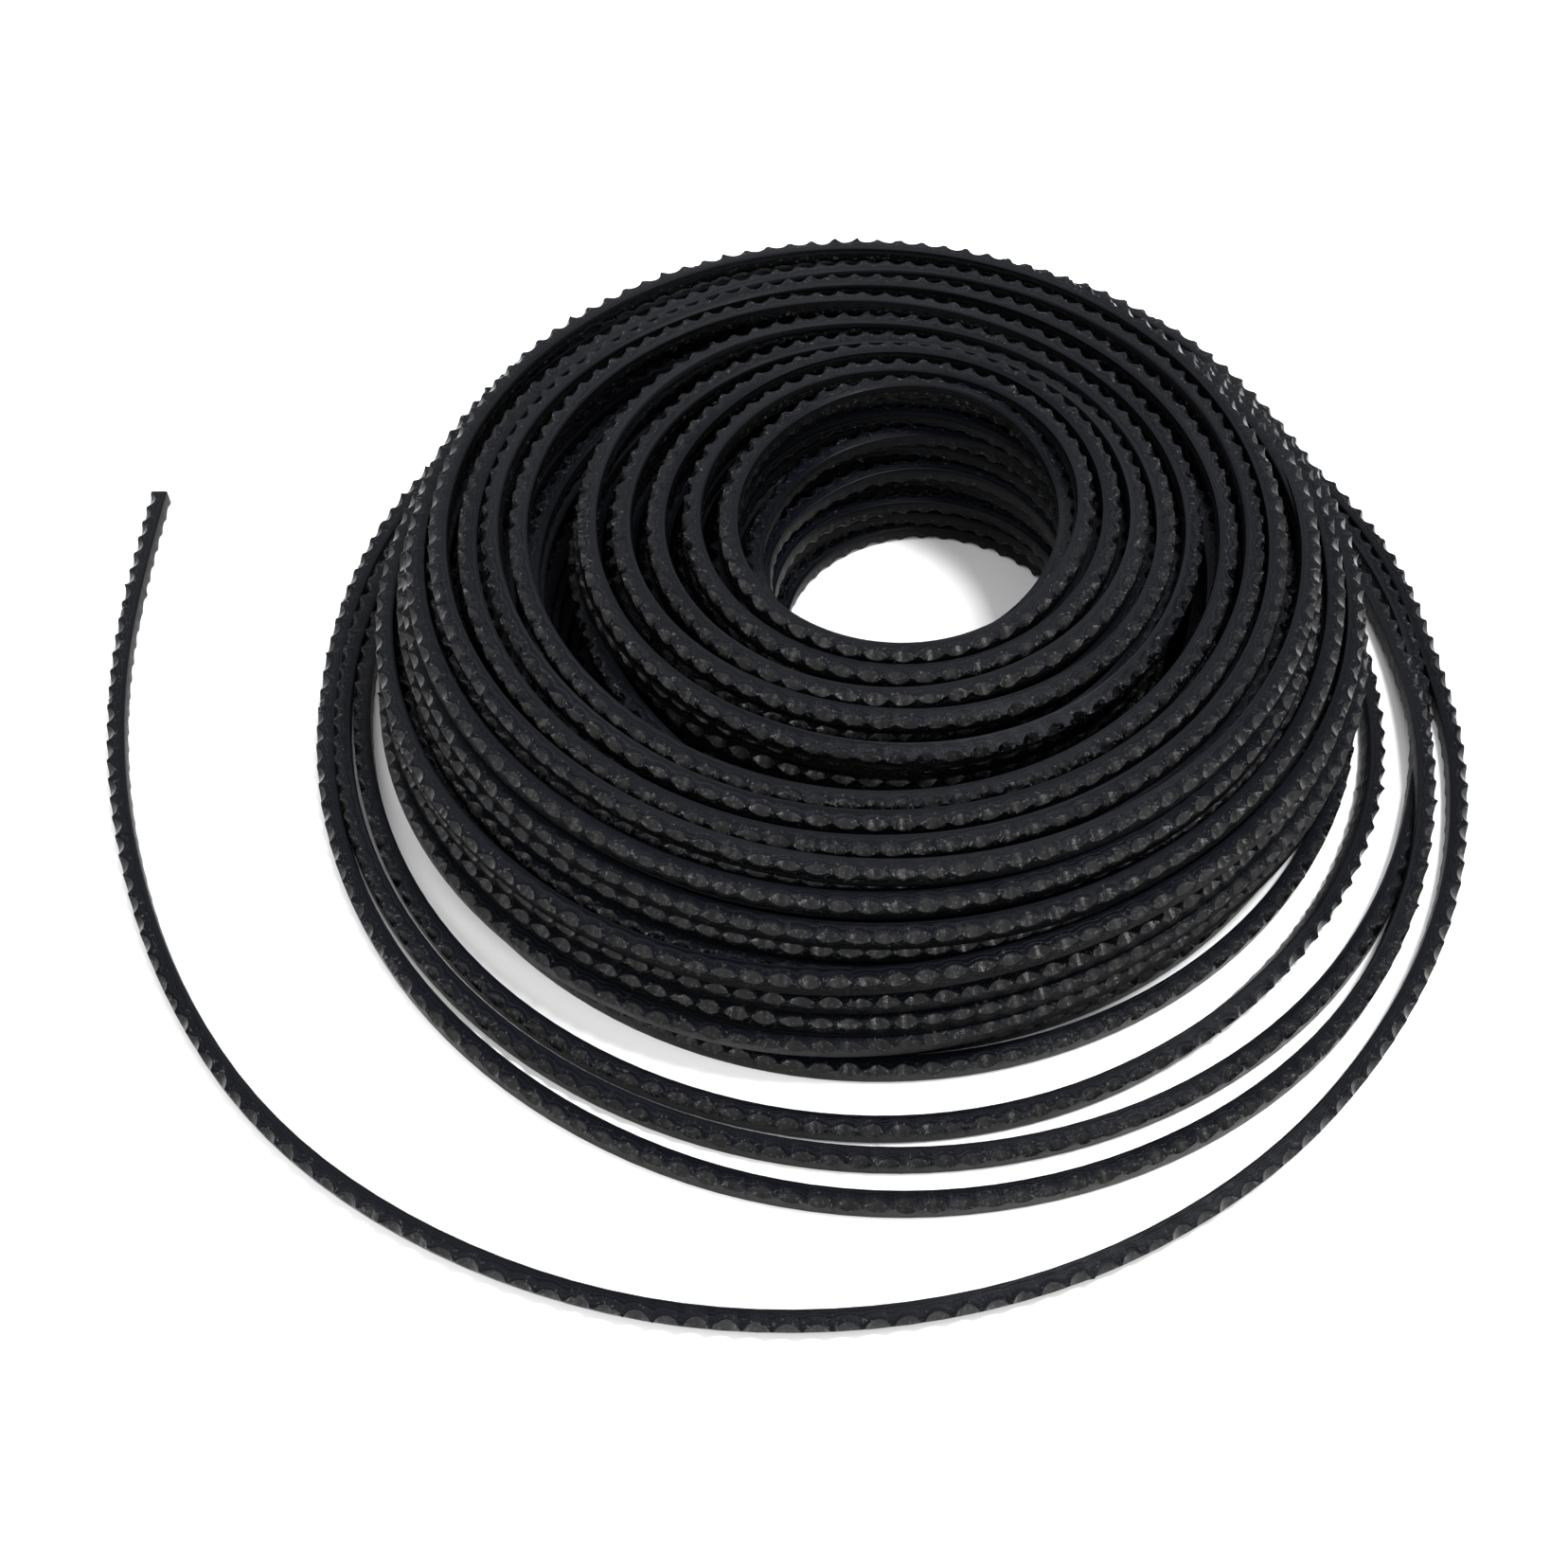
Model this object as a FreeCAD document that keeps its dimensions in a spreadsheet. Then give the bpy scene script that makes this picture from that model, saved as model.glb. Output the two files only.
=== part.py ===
import FreeCAD
import Part
import math
import os

# A loose round coil of one black, square-section line, lying on a flat surface.
# Looking down the winding axis (+Z) there are four kinds of stretch, from the eye outwards:
#   inner layers   flat spirals round the eye, stacked one on another
#   outer layers   flat spirals at the rim, wide at the base and narrow at the top, with an
#                  open valley between them and the inner layers in the top few layers
#   loose turns    spirals that slid off the stack and lie round it on the surface
#   free tail      the outer end of the line, which ends cut square beside the coil
# Every flat spiral is a chain of half circles that meet where their tangents agree.
# All lengths are in millimetres. The origin is at the bottom centre of the whole coil.

SIZES = {
    # the line
    "strand_side": 3.5,  # side of the square section
    # the stack
    "layer_total": 10,  # layers from the surface to the rim
    "lay_gap": 0.7,  # free height between one layer and the next
    "touch_gap": 0.1,  # least clearance left where two layers come closest
    "turn_gap": 1.7,  # free width between one turn and the next in a layer
    "eye_radius": 30.8,  # from the winding axis to the innermost face
    "inner_turns": 5,  # turns in each inner layer
    "base_radius": 97.0,  # line centre of the outermost turn of the lowest layer
    "rim_radius": 82.5,  # the same on the highest layer
    "rim_curve": 2.5,  # power of the height that draws the rim in: 1 would be a cone
    "rim_turns": 3,  # turns left at the rim above the valley
    "valley_layers": 3,  # layers that the valley is deep
    "stack_gap": 0.5,  # least clearance between the inner and the outer layers
    "eye_base_x": 1.0,  # centre of the lowest inner layer
    "eye_base_y": 2.0,
    "eye_lean_x": 0.7,  # how far the inner stack leans from base to top
    "eye_lean_y": 4.5,
    "rim_base_x": -3.0,  # centre of the lowest outer layer
    "rim_base_y": 0.0,
    "rim_lean_x": -2.5,  # how far the outer stack leans from base to top
    "rim_lean_y": 7.0,
    # the loose turns
    "loose_turns": 3,
    "loose_clear": 2.8,  # free width between the stack and the last loose turn's far half
    "loose_gap": 2.5,  # free width between two loose turns
    "loose_shift_x": -1.7,  # centre of the loose turns from the base of the stack
    "loose_stretch": 7.5,  # straight run between their far and near halves
    "loose_last_sweep": 158.0,  # degrees of the last half turn before it meets the stack
}

# Route of the free tail on the surface, from the cut end to the first loose turn, measured
# from the middle of the stack. The straight runs are joined by tangent arcs.
TAIL_POINTS = [
    (-161.0, 50.0),
    (-162.0, 20.0),
    (-158.5, -12.0),
    (-149.5, -44.0),
    (-133.5, -78.5),
    (-109.5, -107.5),
    (-78.5, -128.0),
    (-43.0, -139.8),
    (-6.0, -141.0),
    (29.5, -132.8),
    (62.0, -114.5),
    (87.0, -89.5),
    (106.0, -60.0),
    (115.1, -27.5),
    (115.1, 0.0),
]
TAIL_ARC_SHARE = 0.45  # share of the shorter run that an arc uses at its corner
TAIL_LEAST_RADIUS = 5.0  # least bend radius of the tail, in line sides

LEAN_DIRECTIONS = 3  # the layers tip in turn towards this many evenly spaced sides
DECIMALS = 3  # digits after the point in the printed report


# ---------------------------------------------------------------- the sheet of sizes

def make_sheet(doc):
    """Put the driving sizes in a spreadsheet, one aliased cell each."""
    sheet = doc.addObject("Spreadsheet::Sheet", "sizes")
    for row, (alias, value) in enumerate(SIZES.items(), start=1):
        sheet.set(f"A{row}", alias)
        sheet.set(f"B{row}", str(value))
        sheet.setAlias(f"B{row}", alias)
    row = len(SIZES) + 1
    for offset, alias in enumerate(("centre_x", "centre_y")):
        sheet.set(f"A{row + offset}", alias)
        sheet.set(f"B{row + offset}", "0")
        sheet.setAlias(f"B{row + offset}", alias)
    doc.recompute()
    return sheet


# ---------------------------------------------------------------- paths in the plane

def arc(centre, radius, start, end):
    """An arc of a path: angles in degrees, anticlockwise when end is over start."""
    return {"centre": centre, "radius": radius, "start": start, "end": end}


def line(start, end):
    """A straight run of a path."""
    return {"from": start, "to": end}


def spiral_path(outer_radius, half_turns, half_pitch, stretch=0.0, last_sweep=180.0):
    """Half circles that wind inwards, far half first, on two centres half a pitch apart.

    stretch is a straight run between the far and the near halves on both sides.
    last_sweep cuts the last half circle short.
    """
    path = []
    far = (half_pitch / 2, 0.0)
    near = (-half_pitch / 2, -stretch)
    for index in range(half_turns):
        radius = outer_radius - index * half_pitch
        is_last = index == half_turns - 1
        sweep = last_sweep if is_last else 180.0
        if index % 2 == 0:
            path.append(arc(far, radius, 0.0, sweep))
            side_x = far[0] - radius
            run = line((side_x, far[1]), (side_x, near[1]))
        else:
            path.append(arc(near, radius, 180.0, 180.0 + sweep))
            side_x = near[0] + radius
            run = line((side_x, near[1]), (side_x, far[1]))
        if stretch and not is_last:
            path.append(run)
    return path


def tail_path(points, share):
    """Straight runs through the points, joined by tangent arcs; returns path and radii."""
    path = []
    radii = []
    start = FreeCAD.Vector(*points[0], 0)
    for before, corner, after in zip(points, points[1:], points[2:]):
        before, corner, after = (FreeCAD.Vector(*p, 0) for p in (before, corner, after))
        run_in = corner - before
        run_out = after - corner
        turn = math.atan2(run_in.cross(run_out).z, run_in.dot(run_out))
        cut = share * min(run_in.Length, run_out.Length)
        radius = cut / math.tan(abs(turn) / 2)
        side = math.copysign(1.0, turn)
        entry = corner - run_in.normalize() * cut
        leave = corner + run_out.normalize() * cut
        left = FreeCAD.Vector(-run_in.y, run_in.x, 0)
        centre = entry + left * (side * radius)
        first = math.degrees(math.atan2(entry.y - centre.y, entry.x - centre.x))
        path.append(line((start.x, start.y), (entry.x, entry.y)))
        path.append(arc((centre.x, centre.y), radius, first, first + math.degrees(turn)))
        radii.append(radius)
        start = leave
    path.append(line((start.x, start.y), points[-1]))
    return path, radii


def path_length(path):
    """Length of the line along a path."""
    total = 0.0
    for piece in path:
        if "centre" in piece:
            total += piece["radius"] * math.radians(abs(piece["end"] - piece["start"]))
        else:
            total += math.dist(piece["from"], piece["to"])
    return total


def offset_piece(piece, side):
    """One piece of a path moved sideways: a positive side is to the right of travel."""
    if "centre" in piece:
        way = math.copysign(1.0, piece["end"] - piece["start"])
        return arc(piece["centre"], piece["radius"] + way * side, piece["start"], piece["end"])
    (x0, y0), (x1, y1) = piece["from"], piece["to"]
    run = math.dist(piece["from"], piece["to"])
    shift_x = side * (y1 - y0) / run
    shift_y = -side * (x1 - x0) / run
    return line((x0 + shift_x, y0 + shift_y), (x1 + shift_x, y1 + shift_y))


def piece_end(piece, key):
    """The point at the start or the end of one piece of a path."""
    if "centre" in piece:
        angle = math.radians(piece["start" if key == "from" else "end"])
        return (piece["centre"][0] + piece["radius"] * math.cos(angle),
                piece["centre"][1] + piece["radius"] * math.sin(angle))
    return piece[key]


def sketch_curve(piece):
    """The sketch geometry of one piece of a path."""
    if "centre" not in piece:
        return Part.LineSegment(FreeCAD.Vector(*piece["from"], 0), FreeCAD.Vector(*piece["to"], 0))
    low, high = sorted((math.radians(piece["start"]), math.radians(piece["end"])))
    circle = Part.Circle(FreeCAD.Vector(*piece["centre"], 0), FreeCAD.Vector(0, 0, 1), piece["radius"])
    return Part.ArcOfCircle(circle, low, high)


def strip_outline(path, width):
    """Closed outline of the strip of a given width that follows a path."""
    right = [offset_piece(piece, width / 2) for piece in path]
    left = [offset_piece(piece, -width / 2) for piece in path]
    start_cap = line(piece_end(left[0], "from"), piece_end(right[0], "from"))
    end_cap = line(piece_end(right[-1], "to"), piece_end(left[-1], "to"))
    return [sketch_curve(piece) for piece in [start_cap] + right + [end_cap] + left[::-1]]


# ---------------------------------------------------------------- sub-parts

def make_strand_body(doc, name, path, width):
    """A body whose sketch is the strip along a path, padded to the height of the line."""
    body = doc.addObject("PartDesign::Body", name)
    body.Label = name
    sketch = body.newObject("Sketcher::SketchObject", name + "_outline")
    plane = next(f for f in body.Origin.OriginFeatures if f.Role == "XY_Plane")
    sketch.AttachmentSupport = [(plane, "")]
    sketch.MapMode = "FlatFace"
    sketch.addGeometry(strip_outline(path, width), False)
    pad = body.newObject("PartDesign::Pad", name + "_pad")
    pad.Profile = sketch
    pad.setExpression("Length", "sizes.strand_side")
    return body


def place_layer(body, level, lean, sizes):
    """Stack a layer at its level, shifted by its share of the lean, and tip it a little."""
    rise = f"{level} * (sizes.strand_side + sizes.lay_gap)"
    share = f"{level} / (sizes.layer_total - 1)"
    for way in ("x", "y"):
        middle = f"sizes.centre_{way} + sizes.{lean}_base_{way}"
        body.setExpression(f"Placement.Base.{way}", f"{middle} + {share} * sizes.{lean}_lean_{way}")
    body.setExpression("Placement.Base.z", rise)
    if level:
        reach = sizes.base_radius + sizes.strand_side
        slope = (sizes.lay_gap - sizes.touch_gap) / (2 * math.sin(math.pi / LEAN_DIRECTIONS) * reach)
        side = 2 * math.pi * level / LEAN_DIRECTIONS
        axis = FreeCAD.Vector(math.cos(side), math.sin(side), 0)
        body.Placement.Rotation = FreeCAD.Rotation(axis, math.degrees(slope))


def inner_outer_radius(sizes, half_pitch):
    """Line centre of the outermost half turn of an inner layer."""
    return sizes.eye_radius + sizes.strand_side / 2 + (2 * sizes.inner_turns - 1) * half_pitch


def outer_half_turns(level, radius, sizes, half_pitch):
    """How many half turns fit between the rim and the inner layer, or the rim's own few."""
    share = level / (sizes.layer_total - 1)
    apart_x = sizes.rim_base_x - sizes.eye_base_x + share * (sizes.rim_lean_x - sizes.eye_lean_x)
    apart_y = sizes.rim_base_y - sizes.eye_base_y + share * (sizes.rim_lean_y - sizes.eye_lean_y)
    apart = math.hypot(apart_x, apart_y)
    inner_face = inner_outer_radius(sizes, half_pitch) + sizes.strand_side / 2
    least = inner_face + apart + half_pitch + sizes.stack_gap + sizes.strand_side / 2
    fitting = int((radius - least) // half_pitch) + 1
    if level >= sizes.layer_total - sizes.valley_layers:
        return min(fitting, 2 * int(sizes.rim_turns))
    return fitting


def make_layers(doc, sizes):
    """The inner and the outer layer of every level; returns bodies and line lengths."""
    bodies = []
    lengths = {}
    half_pitch = (sizes.strand_side + sizes.turn_gap) / 2
    levels = int(sizes.layer_total)
    for level in range(levels):
        name = f"inner_layer_{level + 1:02d}"
        radius = inner_outer_radius(sizes, half_pitch)
        path = spiral_path(radius, 2 * int(sizes.inner_turns), half_pitch)
        body = make_strand_body(doc, name, path, sizes.strand_side)
        place_layer(body, level, "eye", sizes)
        bodies.append(body)
        lengths[name] = path_length(path)
    for level in range(levels):
        name = f"outer_layer_{level + 1:02d}"
        drawn_in = (level / (levels - 1)) ** sizes.rim_curve
        radius = sizes.base_radius + drawn_in * (sizes.rim_radius - sizes.base_radius)
        half_turns = outer_half_turns(level, radius, sizes, half_pitch)
        path = spiral_path(radius, half_turns, half_pitch)
        body = make_strand_body(doc, name, path, sizes.strand_side)
        place_layer(body, level, "rim", sizes)
        bodies.append(body)
        lengths[name] = path_length(path)
    return bodies, lengths


def split_turns(path):
    """Cut the path of the loose turns where each one starts again, on the right-hand side."""
    starts = [i for i, piece in enumerate(path) if "centre" in piece and piece["start"] == 0.0]
    return [path[a:b] for a, b in zip(starts, starts[1:] + [len(path)])]


def make_loose_turns(doc, sizes):
    """The turns that lie on the surface round the stack, each in a body of its own."""
    bodies = []
    lengths = {}
    half_pitch = (sizes.strand_side + sizes.loose_gap) / 2
    half_turns = 2 * int(sizes.loose_turns)
    last_far_radius = sizes.base_radius + sizes.strand_side + sizes.loose_clear
    widest = last_far_radius + (half_turns - 2) * half_pitch
    path = spiral_path(widest, half_turns, half_pitch, sizes.loose_stretch, sizes.loose_last_sweep)
    for number, turn in enumerate(split_turns(path), start=1):
        name = f"loose_turn_{number}"
        body = make_strand_body(doc, name, turn, sizes.strand_side)
        body.setExpression("Placement.Base.x", "sizes.centre_x + sizes.loose_shift_x")
        body.setExpression("Placement.Base.y", "sizes.centre_y")
        bodies.append(body)
        lengths[name] = path_length(turn)
    return bodies, lengths


def make_tail(doc, sizes):
    """The free outer end of the line, cut square."""
    path, radii = tail_path(TAIL_POINTS, TAIL_ARC_SHARE)
    print("tail bend radii:", [round(r, 1) for r in radii])
    if min(radii) < TAIL_LEAST_RADIUS * sizes.strand_side:
        raise ValueError("the tail bends too sharply")
    body = make_strand_body(doc, "free_tail", path, sizes.strand_side)
    body.setExpression("Placement.Base.x", "sizes.centre_x")
    body.setExpression("Placement.Base.y", "sizes.centre_y")
    return [body], {"free_tail": path_length(path)}


# ---------------------------------------------------------------- the whole coil

def centre_on_origin(doc, sheet, bodies):
    """Move the whole coil so that the origin is at the bottom centre of its box."""
    box = FreeCAD.BoundBox()
    for body in bodies:
        box.add(body.Shape.BoundBox)
    sheet.set(sheet.getCellFromAlias("centre_x"), str(-box.Center.x))
    sheet.set(sheet.getCellFromAlias("centre_y"), str(-box.Center.y))
    doc.recompute()


def check_model(doc, bodies):
    """Stop if any object failed or any sub-part has no valid solid."""
    for item in doc.Objects:
        if "Invalid" in item.State or "Error" in item.State:
            raise RuntimeError(f"{item.Name} failed: {item.State}")
    for body in bodies:
        if body.Shape.isNull() or not body.Shape.isValid() or not body.Shape.Solids:
            raise RuntimeError(f"{body.Label} has no valid solid")


def report(bodies, lengths, side):
    """Print each sub-part's length, and its volume against section times length."""
    for body in bodies:
        ratio = body.Shape.Volume / (side * side * lengths[body.Label])
        print(f"{body.Label}: line {lengths[body.Label]:.1f}, volume ratio {ratio:.{DECIMALS}f}")
    print(f"line in all: {sum(lengths.values()) / 1000:.{DECIMALS}f} m")


def main():
    doc = FreeCAD.newDocument("line_coil")
    sheet = make_sheet(doc)
    bodies = []
    lengths = {}
    for make in (make_layers, make_loose_turns, make_tail):
        made, measured = make(doc, sheet)
        bodies += made
        lengths.update(measured)
    doc.recompute()
    centre_on_origin(doc, sheet, bodies)
    check_model(doc, bodies)
    report(bodies, lengths, sheet.strand_side)
    os.makedirs("parts", exist_ok=True)
    for body in bodies:
        body.Shape.exportStep(os.path.join("parts", body.Label + ".step"))


main()
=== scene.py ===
"""Looks of a loose round coil of notched belting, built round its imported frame.

One continuous line of square section is wound into a coil. Two opposite corners of the
line are cut with a row of round notches. The line starts at a free tail, runs through
loose turns on the surface and then through the stacked layers of the coil.
"""
import logging
import math
import random
from collections.abc import Callable
from dataclasses import dataclass, field
from enum import Enum
from typing import ClassVar

import bmesh
import bpy
import numpy as np
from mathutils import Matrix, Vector


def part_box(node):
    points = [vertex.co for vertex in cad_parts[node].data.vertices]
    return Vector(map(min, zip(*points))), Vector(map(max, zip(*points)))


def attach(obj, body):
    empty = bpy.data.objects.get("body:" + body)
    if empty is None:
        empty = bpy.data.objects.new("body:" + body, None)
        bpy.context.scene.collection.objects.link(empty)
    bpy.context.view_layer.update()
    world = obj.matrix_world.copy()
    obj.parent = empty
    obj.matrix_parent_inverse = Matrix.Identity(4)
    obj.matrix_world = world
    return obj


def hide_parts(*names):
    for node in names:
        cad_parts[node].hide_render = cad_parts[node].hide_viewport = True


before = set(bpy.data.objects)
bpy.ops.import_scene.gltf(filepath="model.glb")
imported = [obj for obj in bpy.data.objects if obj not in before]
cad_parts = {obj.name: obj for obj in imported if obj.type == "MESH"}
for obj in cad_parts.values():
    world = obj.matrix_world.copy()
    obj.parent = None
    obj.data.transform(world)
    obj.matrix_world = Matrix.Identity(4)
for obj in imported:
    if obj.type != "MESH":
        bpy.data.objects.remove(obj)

LOG = logging.getLogger("belting")
MM = 0.001
FULL_TURN = 2.0 * math.pi
BODY = "root"


# ------------------------------------------------------------------ small helpers

class Half(Enum):
    """Which half of a layer a stretch of line lies in."""

    EYE = "eye"
    RIM = "rim"


class Way(Enum):
    """Which way a layer is wound."""

    INWARDS = "inwards"
    OUTWARDS = "outwards"


def ease(share: float) -> float:
    """Smooth step from 0 to 1."""
    share = min(max(share, 0.0), 1.0)
    return share * share * (3.0 - 2.0 * share)


def hump(angle: float, middle: float, reach: float) -> float:
    """Height share of a low hump."""
    return ease(1.0 - abs(angle - middle) / reach)


def smooth_between(knots: list[tuple[float, float]], place: float) -> float:
    """Value of a smooth curve through knots.

    Args:
        knots: rising places with their values.
        place: where to read the curve.

    Returns:
        The value there, by a cubic through the four nearest knots.
    """
    places = [knot[0] for knot in knots]
    index = min(max(int(np.searchsorted(places, place)) - 1, 0), len(knots) - 2)
    (x1, y1), (x2, y2) = knots[index], knots[index + 1]
    x0, y0 = knots[index - 1] if index else (2 * x1 - x2, 2 * y1 - y2)
    x3, y3 = knots[index + 2] if index + 2 < len(knots) else (2 * x2 - x1, 2 * y2 - y1)
    t = (place - x1) / (x2 - x1)
    slope_1 = (y2 - y0) / (x2 - x0) * (x2 - x1)
    slope_2 = (y3 - y1) / (x3 - x1) * (x2 - x1)
    return ((2 * t**3 - 3 * t**2 + 1) * y1 + (t**3 - 2 * t**2 + t) * slope_1
            + (3 * t**2 - 2 * t**3) * y2 + (t**3 - t**2) * slope_2)


@dataclass
class Wobble:
    """Slow seeded waviness along the line."""

    seed: int
    waves: int = 6
    slowest: float = 0.23
    fastest: float = 2.9
    parts: list[tuple[float, float]] = field(default_factory=list)

    def __post_init__(self) -> None:
        """Draw the rates and phases of the waves."""
        draw = random.Random(self.seed)
        step = (self.fastest - self.slowest) / self.waves
        for number in range(self.waves):
            rate = self.slowest + step * (number + draw.random())
            self.parts.append((rate, draw.uniform(0.0, FULL_TURN)))

    def at(self, angle: float) -> float:
        """Waviness at an angle along the line."""
        total = sum(math.sin(rate * angle + phase) for rate, phase in self.parts)
        return total / math.sqrt(self.waves / 2.0) * 0.6


# ------------------------------------------------------------------ node tree helper

class TreeMaker:
    """Adds and links nodes in a node tree with few words."""

    def __init__(self, tree: bpy.types.NodeTree) -> None:
        """Keep the tree to work on."""
        self.tree = tree

    def add(self, kind: str, inputs: dict | None = None, **settings: object) -> bpy.types.Node:
        """Add a node.

        Args:
            kind: the node's type name.
            inputs: values or sockets for its inputs, by name or number.
            settings: attributes of the node to set first.

        Returns:
            The new node.
        """
        node = self.tree.nodes.new(kind)
        for name, value in settings.items():
            setattr(node, name, value)
        for name, value in (inputs or {}).items():
            socket = node.inputs[name]
            if isinstance(value, bpy.types.NodeSocket):
                self.tree.links.new(value, socket)
            else:
                socket.default_value = value
        return node

    def math(self, operation: str, *values: object) -> bpy.types.NodeSocket:
        """Add a math node."""
        return self.add("ShaderNodeMath", dict(enumerate(values)), operation=operation).outputs[0]

    def vector_math(self, operation: str, inputs: dict) -> bpy.types.NodeSocket:
        """Add a vector math node."""
        return self.add("ShaderNodeVectorMath", inputs, operation=operation).outputs[0]

    def ramp(self, value: bpy.types.NodeSocket, low: float, high: float) -> bpy.types.NodeSocket:
        """Turn a value into 0 below a low mark and 1 above a high one."""
        return self.add("ShaderNodeMapRange", {"Value": value, 1: low, 2: high}).outputs[0]

    def mix(self, share: bpy.types.NodeSocket, first: object, second: object) -> bpy.types.NodeSocket:
        """Mix two colours.

        Args:
            share: how much of the second one.
            first: colour or socket.
            second: colour or socket.

        Returns:
            The mixed colour's socket.
        """
        node = self.tree.nodes.new("ShaderNodeMix")
        node.data_type = "RGBA"
        colours = [socket for socket in node.inputs if socket.type == "RGBA"]
        for socket, value in zip(colours, (first, second)):
            if isinstance(value, bpy.types.NodeSocket):
                self.tree.links.new(value, socket)
            else:
                socket.default_value = (*value, 1.0)
        self.tree.links.new(share, node.inputs[0])
        return next(socket for socket in node.outputs if socket.type == "RGBA")

    def noise(self, place: bpy.types.NodeSocket, scale: float, detail: float,
              roughness: float = 0.5) -> bpy.types.NodeSocket:
        """Add a noise texture."""
        return self.add("ShaderNodeTexNoise", {"Vector": place, "Scale": scale, "Detail": detail,
                                               "Roughness": roughness}).outputs["Fac"]

    def named(self, name: str, data_type: str = "FLOAT") -> bpy.types.NodeSocket:
        """Read a named attribute in a geometry tree."""
        node = self.add("GeometryNodeInputNamedAttribute", {"Name": name}, data_type=data_type)
        return node.outputs["Attribute"]


# ------------------------------------------------------------------ finishes

@dataclass(frozen=True)
class SatinSkin:
    """Extruded black skin with fine lines along its length and pale flecks by the notches; painted light
    gives it lighter bluish tops and darker olive sides, a painted sheen on the lines, painted highlights on
    the rounded corners along with moulding flash, and painted glints among the flecks.
    """

    # Painted light and shade: the lighter bluish top colour paints lit top faces, the darker olive side
    # colour paints shaded sides.
    painted_lit_top_colour: tuple[float, float, float] = (0.0019, 0.0024, 0.004)
    painted_shade_side_colour: tuple[float, float, float] = (0.0007, 0.0007, 0.0005)
    # Pale flecks by the notches: partly lint and torn bits, partly painted glints from burrs at the notch
    # lips.
    fleck_and_glint_colour: tuple[float, float, float] = (0.06, 0.062, 0.062)
    # Lighter colour on the die lines and rounded corners: painted sheen and highlight, partly moulding flash
    # at the corners.
    flash_and_sheen_colour: tuple[float, float, float] = (0.012, 0.013, 0.0155)
    roughness: float = 0.27
    line_density: float = 4200.0
    line_stretch: float = 9.0
    half_side: float = 1.8 * MM

    def material(self) -> bpy.types.Material:
        """Build the material.

        Returns:
            The skin's material.
        """
        material = bpy.data.materials.new("belting_satin_skin")
        material.use_nodes = True
        make = TreeMaker(material.node_tree)
        shader = material.node_tree.nodes["Principled BSDF"]
        section = make.add("ShaderNodeAttribute", attribute_name="section").outputs["Vector"]
        along = make.add("ShaderNodeAttribute", attribute_name="along").outputs["Fac"]
        notched = make.add("ShaderNodeAttribute", attribute_name="notched").outputs["Fac"]
        out, down, _ = make.add("ShaderNodeSeparateXYZ", {0: section}).outputs
        lines = self._lines(make, out, down, along)
        place = make.add("ShaderNodeTexCoord").outputs["Object"]
        blotches = make.noise(place, 70.0, 4.0)
        grain = make.noise(place, 2400.0, 2.0)
        wide, high = make.math("ABSOLUTE", out), make.math("ABSOLUTE", down)
        # Painted light and shade: side faces take the darker olive colour, top faces the lighter bluish one.
        painted_shade_side_mask = make.ramp(make.math("SUBTRACT", wide, high), -0.3 * MM, 0.3 * MM)
        colour = make.mix(painted_shade_side_mask, self.painted_lit_top_colour, self.painted_shade_side_colour)
        at_corner = make.ramp(make.math("ADD", wide, high), 1.86 * self.half_side, 1.99 * self.half_side)
        # Painted sheen: the die lines are lighter in colour, as streaky highlights along the strands.
        colour = make.mix(make.ramp(lines, 0.45, 0.8), colour, self.flash_and_sheen_colour)
        # Lighter lines at the rounded corners: partly moulding flash, partly a painted highlight.
        corner_flash_and_highlight = make.math("MULTIPLY", at_corner, make.ramp(blotches, 0.45, 0.6))
        colour = make.mix(corner_flash_and_highlight, colour, self.flash_and_sheen_colour)
        # Pale flecks near the notches: partly lint and torn bits, partly painted glints.
        specks = make.noise(place, 1250.0, 3.0, 0.7)
        near_notch = make.ramp(notched, 0.25, 0.9)
        flecks_and_glints = make.math("MULTIPLY", make.ramp(specks, 0.6, 0.67), near_notch)
        colour = make.mix(flecks_and_glints, colour, self.fleck_and_glint_colour)
        rough = make.add("ShaderNodeMapRange", {"Value": make.math("ADD", blotches, lines), 1: 0.6, 2: 1.4,
                                                3: self.roughness - 0.1, 4: self.roughness + 0.14}).outputs[0]
        height = make.math("MULTIPLY_ADD", grain, 0.3, lines)
        height = make.math("MULTIPLY_ADD", flecks_and_glints, 0.6, height)
        bump = make.add("ShaderNodeBump", {"Height": height, "Strength": 0.5, "Distance": 0.00022})
        make.tree.links.new(rough, shader.inputs["Roughness"])
        make.tree.links.new(bump.outputs[0], shader.inputs["Normal"])
        make.tree.links.new(colour, shader.inputs["Base Color"])
        shader.inputs["Specular IOR Level"].default_value = 0.05
        return material

    def _lines(self, make: TreeMaker, out: bpy.types.NodeSocket, down: bpy.types.NodeSocket,
               along: bpy.types.NodeSocket) -> bpy.types.NodeSocket:
        """Draw the die's fine lines, which run along the skin.

        Args:
            make: the helper for the material's tree.
            out: place across the section, out of the coil.
            down: place across the section, downwards.
            along: distance along the line.

        Returns:
            The noise value's socket.
        """
        place = make.add("ShaderNodeCombineXYZ", {0: make.math("MULTIPLY", out, self.line_density),
                                                  1: make.math("MULTIPLY", down, self.line_density),
                                                  2: make.math("MULTIPLY", along, self.line_stretch)})
        return make.noise(place.outputs[0], 1.0, 3.0, 0.6)


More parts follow.
